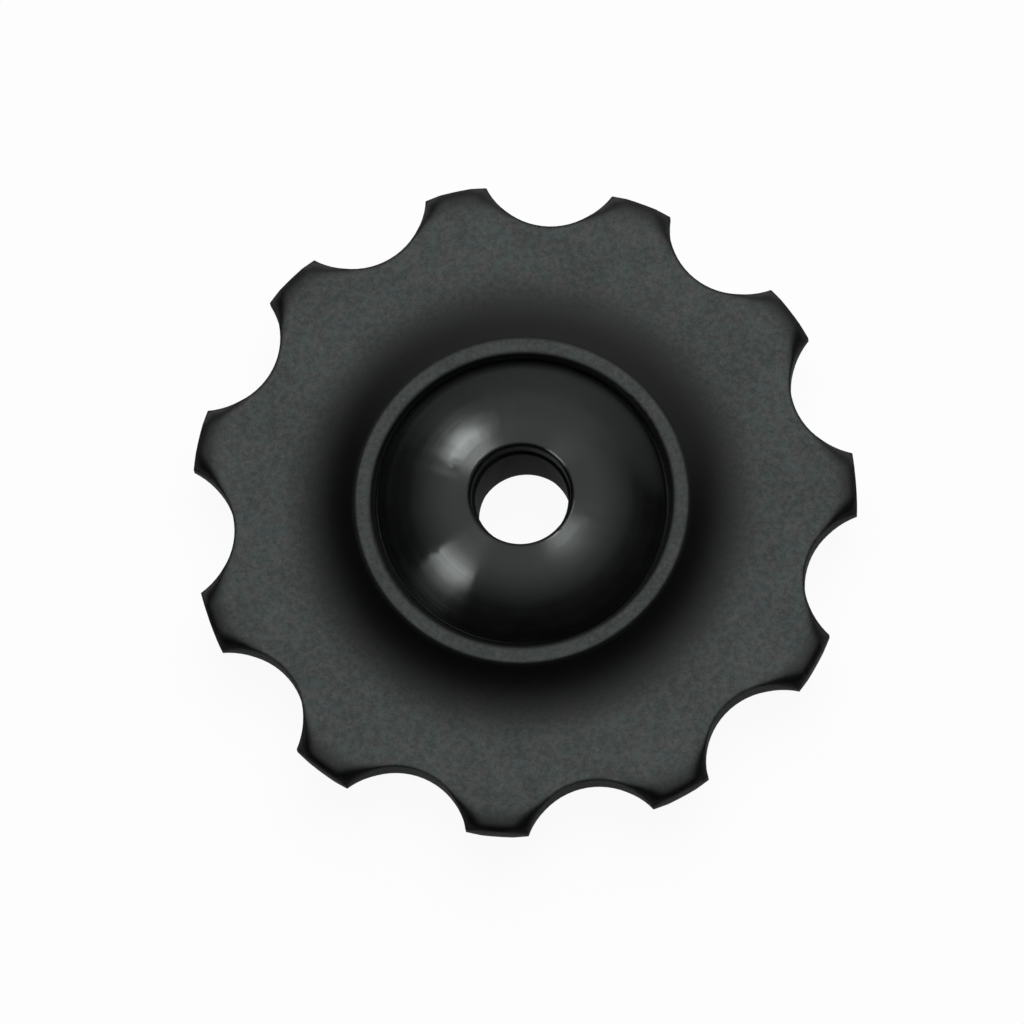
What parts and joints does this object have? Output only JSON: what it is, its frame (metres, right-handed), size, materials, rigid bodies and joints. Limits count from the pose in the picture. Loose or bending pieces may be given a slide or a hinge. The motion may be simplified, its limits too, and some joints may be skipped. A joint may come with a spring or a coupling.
{
  "type": "derailleur jockey wheel",
  "caption": "Toothed chain pulley for a bicycle rear derailleur: a moulded wheel on a sealed ball bearing, with domed caps on both sides and a bolt bore through the middle.",
  "frame": {"origin": "middle of the bolt bore, on the wheel's mid-plane", "axes": "+Z along the bore, out of the front cap; the wheel lies flat on its rear cap"},
  "size_m": [0.0428, 0.0429, 0.008],
  "materials": {
    "moulded_plastic": "matte, finely grained",
    "black_anodised": "turned, black anodised",
    "bush_steel": "blackened",
    "bearing_steel": "ground",
    "cage_steel": "pressed",
    "ball_steel": "polished",
    "seal_rubber": "matte"
  },
  "bodies": {
    "core": {"axle_bush": "bush_steel", "front_cap": "black_anodised", "rear_cap": "black_anodised", "bearing_inner_race": "bearing_steel"},
    "wheel": {"toothed_wheel": "moulded_plastic", "bearing_outer_race": "bearing_steel", "front_seal": "seal_rubber", "rear_seal": "seal_rubber"},
    "cage": {"bearing_cage": "cage_steel"},
    "ball_01": {"bearing_ball_01": "ball_steel"},
    "ball_02": {"bearing_ball_02": "ball_steel"},
    "ball_03": {"bearing_ball_03": "ball_steel"},
    "ball_04": {"bearing_ball_04": "ball_steel"},
    "ball_05": {"bearing_ball_05": "ball_steel"},
    "ball_06": {"bearing_ball_06": "ball_steel"},
    "ball_07": {"bearing_ball_07": "ball_steel"},
    "ball_08": {"bearing_ball_08": "ball_steel"},
    "ball_09": {"bearing_ball_09": "ball_steel"},
    "ball_10": {"bearing_ball_10": "ball_steel"}
  },
  "joints": [
    {"name": "wheel_spin", "type": "hinge", "parent": "core", "child": "wheel", "pos_m": [0, 0, 0], "axis": [0, 0, 1], "continuous": true},
    {"name": "cage_orbit", "type": "hinge", "parent": "core", "child": "cage", "pos_m": [0, 0, 0], "axis": [0, 0, 1], "continuous": true},
    {"name": "ball_01_roll", "type": "hinge", "parent": "cage", "child": "ball_01", "pos_m": [0.0055, 0, 0], "axis": [0, 0, 1], "continuous": true},
    {"name": "ball_02_roll", "type": "hinge", "parent": "cage", "child": "ball_02", "pos_m": [0.00445, 0.00323, 0], "axis": [0, 0, 1], "continuous": true},
    {"name": "ball_03_roll", "type": "hinge", "parent": "cage", "child": "ball_03", "pos_m": [0.0017, 0.00523, 0], "axis": [0, 0, 1], "continuous": true},
    {"name": "ball_04_roll", "type": "hinge", "parent": "cage", "child": "ball_04", "pos_m": [-0.0017, 0.00523, 0], "axis": [0, 0, 1], "continuous": true},
    {"name": "ball_05_roll", "type": "hinge", "parent": "cage", "child": "ball_05", "pos_m": [-0.00445, 0.00323, 0], "axis": [0, 0, 1], "continuous": true},
    {"name": "ball_06_roll", "type": "hinge", "parent": "cage", "child": "ball_06", "pos_m": [-0.0055, 0, 0], "axis": [0, 0, 1], "continuous": true},
    {"name": "ball_07_roll", "type": "hinge", "parent": "cage", "child": "ball_07", "pos_m": [-0.00445, -0.00323, 0], "axis": [0, 0, 1], "continuous": true},
    {"name": "ball_08_roll", "type": "hinge", "parent": "cage", "child": "ball_08", "pos_m": [-0.0017, -0.00523, 0], "axis": [0, 0, 1], "continuous": true},
    {"name": "ball_09_roll", "type": "hinge", "parent": "cage", "child": "ball_09", "pos_m": [0.0017, -0.00523, 0], "axis": [0, 0, 1], "continuous": true},
    {"name": "ball_10_roll", "type": "hinge", "parent": "cage", "child": "ball_10", "pos_m": [0.00445, -0.00323, 0], "axis": [0, 0, 1], "continuous": true}
  ],
  "couplings": [
    {"joint": "cage_orbit", "follows": "wheel_spin", "ratio": 0.57216},
    {"joint": "ball_01_roll", "follows": "wheel_spin", "ratio": 3.3924},
    {"joint": "ball_02_roll", "follows": "wheel_spin", "ratio": 3.3924},
    {"joint": "ball_03_roll", "follows": "wheel_spin", "ratio": 3.3924},
    {"joint": "ball_04_roll", "follows": "wheel_spin", "ratio": 3.3924},
    {"joint": "ball_05_roll", "follows": "wheel_spin", "ratio": 3.3924},
    {"joint": "ball_06_roll", "follows": "wheel_spin", "ratio": 3.3924},
    {"joint": "ball_07_roll", "follows": "wheel_spin", "ratio": 3.3924},
    {"joint": "ball_08_roll", "follows": "wheel_spin", "ratio": 3.3924},
    {"joint": "ball_09_roll", "follows": "wheel_spin", "ratio": 3.3924},
    {"joint": "ball_10_roll", "follows": "wheel_spin", "ratio": 3.3924}
  ]
}
